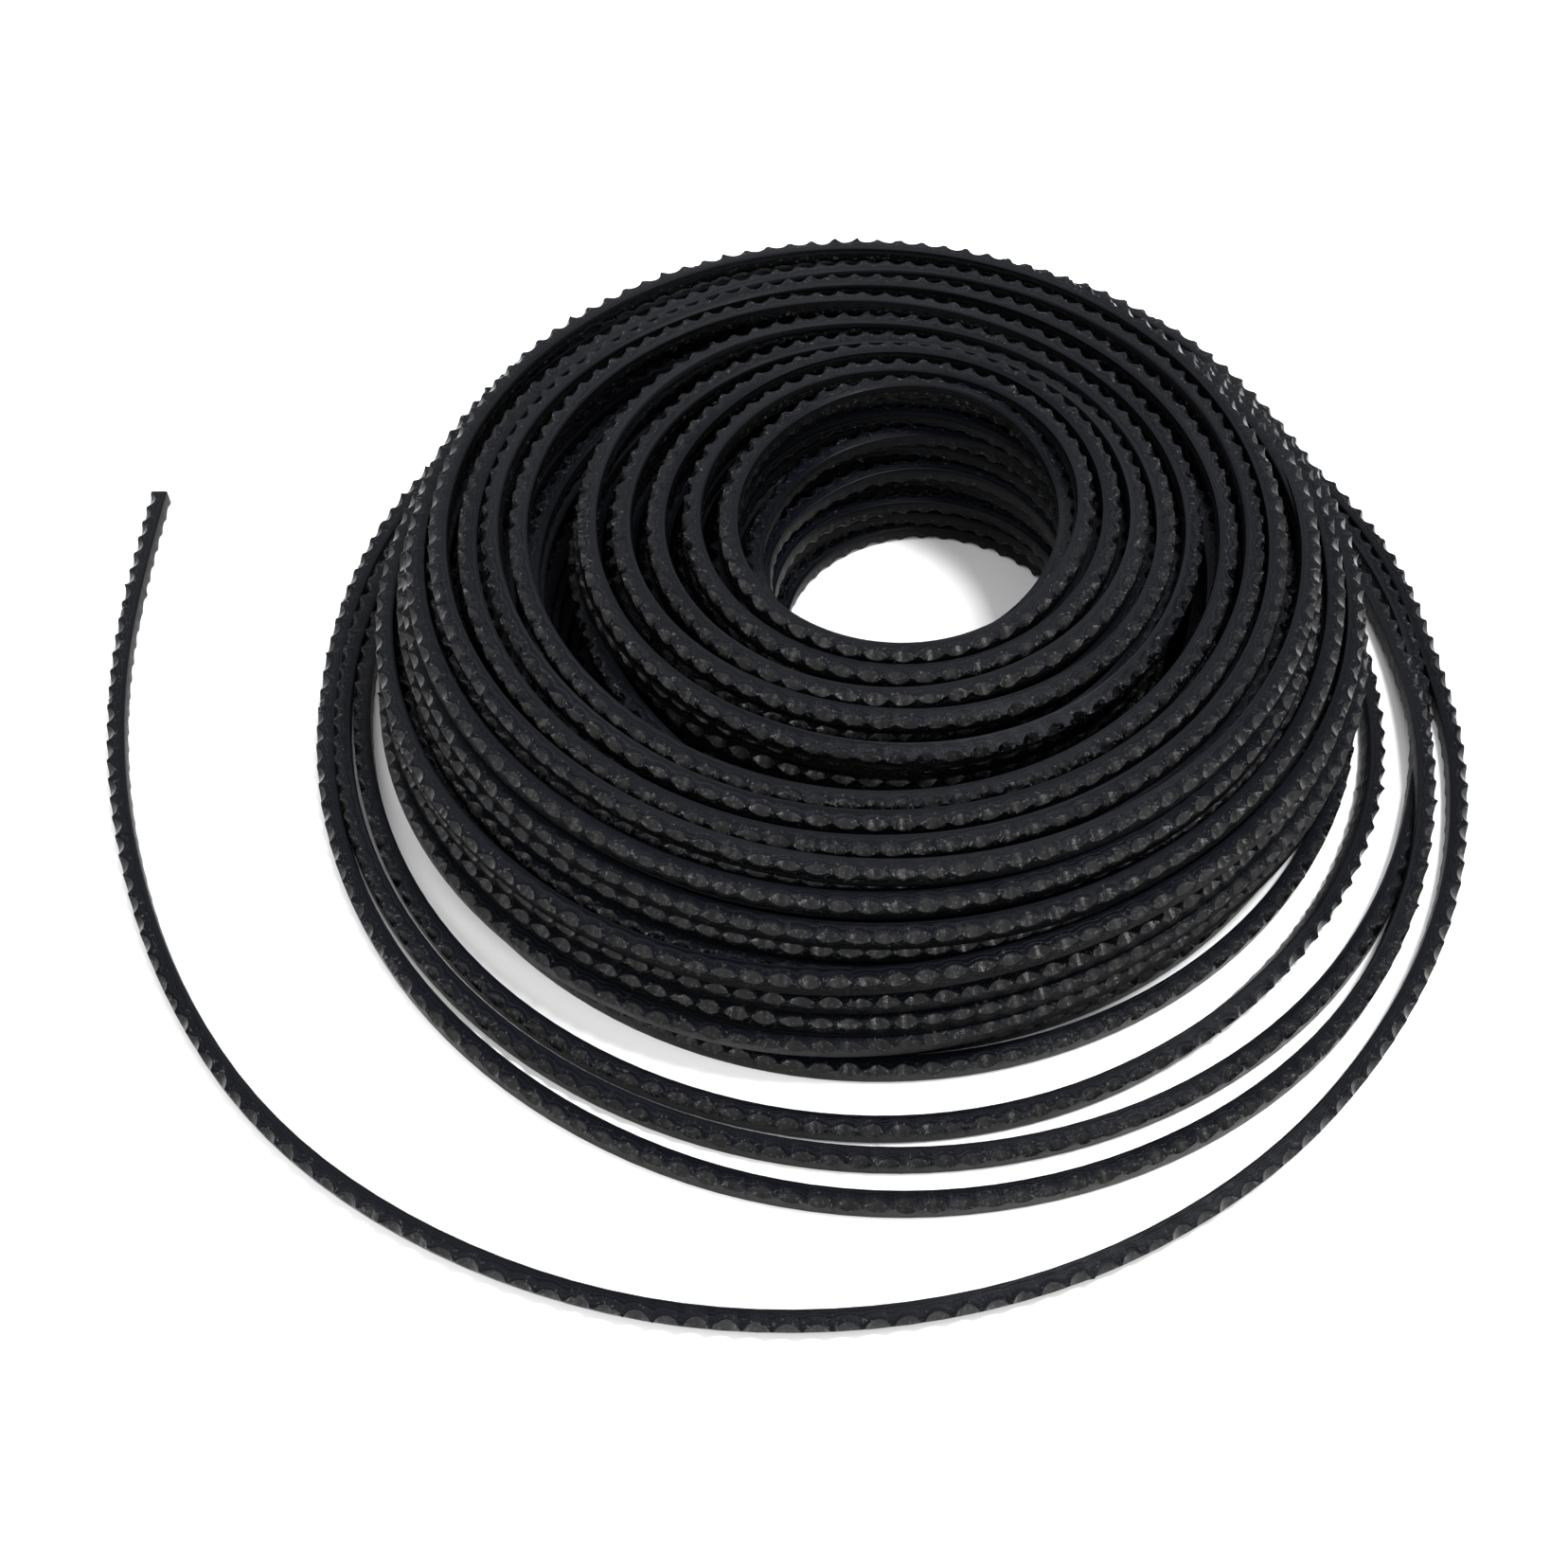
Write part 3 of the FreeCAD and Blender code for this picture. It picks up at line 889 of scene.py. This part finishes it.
@dataclass
class BeltingLine:
    """The whole line, swept and cut into stretches, each attached to the body in place of the imported parts
    it stands for.
    """

    middle: tuple[float, float]
    winding: Winding = field(default_factory=Winding)
    section: Section = field(default_factory=Section)
    tool: NotchTool = field(default_factory=NotchTool)
    tail_length: float = 0.486
    loose_length: float = 2.065
    spline_steps: int = 6

    def plan(self) -> tuple[list[tuple[float, float, float, float]], list[Stretch]]:
        """Work out the control points and the stretches.

        Returns:
            The control points in the frame, and the stretches in order.
        """
        winding = self.winding
        tail = winding.tail_points()
        loose = winding.loose_points()
        stack = winding.stack_points()
        points = [(x + self.middle[0], y + self.middle[1], z, roll) for x, y, z, roll in tail + loose + stack]
        stack_start = len(tail) + len(loose)
        stretches = [
            Stretch("free_tail_line", 0, len(tail) - 1, ("free_tail",), self.tail_length, "loose", "bare",
                    from_end=True),
            Stretch("loose_turns_line", len(tail) - 1, stack_start,
                    ("loose_turn_1", "loose_turn_2", "loose_turn_3"), self.loose_length, "loose", "object"),
        ]
        marks = [stack_start + start for start in winding.starts] + [len(points) - 1]
        for layer, (first, last) in enumerate(zip(marks, marks[1:])):
            number = f"{layer + 1:02d}"
            is_top = layer == winding.layers - 1
            stretches.append(Stretch(
                f"layer_{number}_line", first, last, (f"inner_layer_{number}", f"outer_layer_{number}"),
                self.layer_length(layer), "coiled", "bare" if is_top else "object"))
        return points, stretches

    def layer_length(self, layer: int) -> float:
        """Length of line in one layer.

        Args:
            layer: which layer.

        Returns:
            Turns times mean circumference, in metres.
        """
        winding = self.winding
        outer = winding.outer_turns(layer)
        rim = winding.rim_at(layer)
        inner_end = rim - outer * winding.outer_pitch
        eye = winding.eye_half_width + winding.eye_extra_depth * winding.share(layer) / 2.0
        turns = ((outer, (rim + inner_end) / 2.0),
                 (winding.crossing, (inner_end + winding.reach(layer)) / 2.0),
                 (winding.inner_turns, (eye + winding.reach(layer)) / 2.0))
        length = sum(count * FULL_TURN * radius for count, radius in turns)
        if layer == winding.layers - 1:
            length += winding.end_turns * FULL_TURN * (winding.rim_radius + 5.0 * MM)
        return length

    def spline_line(self, points: list[tuple[float, float, float, float]]) -> np.ndarray:
        """Read the smooth line through the control points.

        Args:
            points: control points with their roll.

        Returns:
            Points along the spline, as rows.
        """
        data = bpy.data.curves.new("line_route", "CURVE")
        data.dimensions = "3D"
        data.resolution_u = self.spline_steps
        spline = data.splines.new("NURBS")
        spline.points.add(len(points) - 1)
        for number, (x, y, z, _) in enumerate(points):
            spline.points[number].co = (x, y, z, 1.0)
        spline.order_u = 3
        spline.use_endpoint_u = True
        route = bpy.data.objects.new("line_route", data)
        bpy.context.scene.collection.objects.link(route)
        mesh = bpy.data.meshes.new_from_object(route)
        line = np.empty(len(mesh.vertices) * 3)
        mesh.vertices.foreach_get("co", line)
        bpy.data.objects.remove(route)
        bpy.data.curves.remove(data)
        bpy.data.meshes.remove(mesh)
        return line.reshape(-1, 3)

    def sweep(self, stretch: Stretch, line: np.ndarray, rolls: np.ndarray, ring: bpy.types.Object,
              tree: bpy.types.NodeTree, finishes: tuple[bpy.types.Material, bpy.types.Material],
              ) -> bpy.types.Object:
        """Sweep one stretch with its notches.

        Args:
            stretch: what it is.
            line: its centre line.
            rolls: the roll at each point of the line.
            ring: the section.
            tree: the notch tool's tree.
            finishes: skin and cut materials.

        Returns:
            The finished piece.
        """
        path = bpy.data.meshes.new(stretch.name)
        path.from_pydata([tuple(p) for p in line], [(i, i + 1) for i in range(len(line) - 1)], [])
        roll = path.attributes.new("roll", "FLOAT", "POINT")
        roll.data.foreach_set("value", rolls)
        piece = bpy.data.objects.new(stretch.name, path)
        bpy.context.scene.collection.objects.link(piece)
        length = float(np.linalg.norm(np.diff(line, axis=0), axis=1).sum())
        notches = round(length / self.tool.pitch)
        modifier = piece.modifiers.new("notched_line", "NODES")
        modifier.node_group = tree
        values = {"Section": ring, "Rings": notches * self.tool.rings_per_notch + 1,
                  "Setback": self.tool.setback, "Spread": self.tool.spread, "Burr": self.tool.burr,
                  "Seed": self.tool.seed + stretch.first, "Skin": finishes[0], "Cut": finishes[1]}
        for item in tree.interface.items_tree:
            if item.name in values:
                modifier[item.identifier] = values[item.name]
        graph = bpy.context.evaluated_depsgraph_get()
        mesh = bpy.data.meshes.new_from_object(piece.evaluated_get(graph), depsgraph=graph)
        piece.modifiers.clear()
        piece.data = mesh
        bpy.data.meshes.remove(path)
        self.finish_mesh(mesh)
        return piece

    def finish_mesh(self, mesh: bpy.types.Mesh) -> None:
        """Turn the faces outwards if need be and keep only the real edges sharp.

        Args:
            mesh: the swept mesh, changed in place.
        """
        shape = bmesh.new()
        shape.from_mesh(mesh)
        if shape.calc_volume(signed=True) < 0.0:
            bmesh.ops.reverse_faces(shape, faces=shape.faces)
        shape.to_mesh(mesh)
        shape.free()
        mesh.shade_smooth()
        mesh.set_sharp_from_angle(angle=math.radians(33.0))

    def build(self) -> list[bpy.types.Object]:
        """Build and dress every stretch, attach it to the body and hide the imported parts it stands for.

        Returns:
            The pieces in order.
        """
        points, stretches = self.plan()
        line = self.spline_line(points)
        controls = np.linspace(0.0, len(line) - 1.0, len(points))
        rolls = np.interp(np.arange(len(line)), controls, [p[3] for p in points])
        skin = SatinSkin().material()
        cut = CutFace().material()
        ring = self.section.build()
        tree = self.tool.tree()
        pieces = []
        for stretch in stretches:
            first, last = round(controls[stretch.first]), round(controls[stretch.last])
            part = line[first:last + 1]
            piece = self.sweep(stretch, part, rolls[first:last + 1], ring, tree, (skin, cut))
            self.declare(piece, stretch)
            pieces.append(piece)
            LOG.info("%s: %.3f m, %d faces", stretch.name,
                     float(np.linalg.norm(np.diff(part, axis=0), axis=1).sum()), len(piece.data.polygons))
        bpy.data.objects.remove(ring)
        return pieces

    def declare(self, piece: bpy.types.Object, stretch: Stretch) -> None:
        """Attach the piece to the body and hide the imported parts it stands for.

        Args:
            piece: the finished piece.
            stretch: what it is.
        """
        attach(piece, BODY)
        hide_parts(*stretch.stands_for)


# ------------------------------------------------------------------ the studio

@dataclass
class Studio:
    """Pale floor, soft lights and the camera."""

    middle: tuple[float, float]
    elevation: float = math.radians(52.6)
    distance: float = 0.3581
    aim: tuple[float, float] = (-20.4 * MM, -30.0 * MM)
    lens: float = 41.3
    floor_size: float = 6.0

    def build(self) -> None:
        """Build the floor, the lights, the surrounding light and the camera."""
        self.floor()
        self.lamp("overhead", (0.42, 0.05, 1.1), (0.24, 0.24), 14.0, (0.0, 0.0, 0.0))
        self.lamp("behind", (-0.25, 1.0, 0.8), (1.2, 0.4), 3.5, (0.0, 0.0, 0.0))
        self.lamp("front_right", (0.6, -0.85, 0.75), (0.26, 0.26), 4.6, (0.03, 0.0, 0.02))
        self.lamp("front_left", (-0.85, -0.5, 0.9), (0.9, 0.9), 5.0, (-0.03, 0.0, 0.0))
        self.surroundings()
        self.camera()

    def floor(self) -> None:
        """Lay the pale floor."""
        half = self.floor_size / 2.0
        mesh = bpy.data.meshes.new("pale_floor")
        mesh.from_pydata([(-half, -half, 0.0), (half, -half, 0.0), (half, half, 0.0), (-half, half, 0.0)],
                         [], [(0, 1, 2, 3)])
        floor = bpy.data.objects.new("pale_floor", mesh)
        floor.data.materials.append(PaleFloor().material())
        bpy.context.scene.collection.objects.link(floor)

    def lamp(self, name: str, place: tuple[float, float, float], size: tuple[float, float],
             power: float, target: tuple[float, float, float]) -> None:
        """Hang one soft lamp.

        Args:
            name: the lamp's name.
            place: where it hangs.
            size: its width and height.
            power: its power in watts.
            target: the point it faces.
        """
        data = bpy.data.lights.new(name, "AREA")
        data.shape = "RECTANGLE"
        data.size, data.size_y = size
        data.energy = power
        lamp = bpy.data.objects.new(name, data)
        bpy.context.scene.collection.objects.link(lamp)
        self.face(lamp, place, target)

    def face(self, thing: bpy.types.Object, place: tuple[float, float, float],
             target: tuple[float, float, float]) -> None:
        """Put a lamp or the camera at a place, looking at a target.

        Args:
            thing: what is placed.
            place: where it goes.
            target: the point it faces.
        """
        look = Vector(target) - Vector(place)
        thing.location = place
        thing.rotation_euler = look.to_track_quat("-Z", "Y").to_euler()

    def surroundings(self) -> None:
        """Fill the room with even pale light."""
        world = bpy.data.worlds.new("pale_room")
        world.use_nodes = True
        background = world.node_tree.nodes["Background"]
        background.inputs["Color"].default_value = (1.0, 1.0, 1.0, 1.0)
        background.inputs["Strength"].default_value = 1.0
        bpy.context.scene.world = world

    def camera(self) -> None:
        """Set the camera at its elevation, with no shift and everything in focus."""
        data = bpy.data.cameras.new("camera")
        data.sensor_width = 36.0
        data.lens = self.lens
        data.clip_start = 0.01
        camera = bpy.data.objects.new("camera", data)
        bpy.context.scene.collection.objects.link(camera)
        target = (self.middle[0] + self.aim[0], self.middle[1] + self.aim[1], 0.0)
        place = (target[0], target[1] - self.distance * math.cos(self.elevation),
                 self.distance * math.sin(self.elevation))
        self.face(camera, place, target)
        bpy.context.scene.camera = camera
        bpy.context.scene.view_settings.view_transform = "Standard"


def stack_middle() -> tuple[float, float]:
    """Find the middle of the stack from the lowest outer layer.

    Returns:
        The middle's place on the surface.
    """
    low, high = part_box("outer_layer_01")
    spiral_shift = 1.3 * MM
    lowest_layer_shift = 3.0 * MM
    return ((low[0] + high[0]) / 2.0 - spiral_shift + lowest_layer_shift,
            (low[1] + high[1]) / 2.0 - spiral_shift)


def main() -> None:
    """Build the line and the studio."""
    logging.basicConfig(level=logging.INFO, format="%(message)s")
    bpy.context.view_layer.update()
    middle = stack_middle()
    pieces = BeltingLine(middle).build()
    Studio(middle).build()
    LOG.info("%d pieces, %d faces", len(pieces), sum(len(p.data.polygons) for p in pieces))


if __name__ == "__main__":
    main()
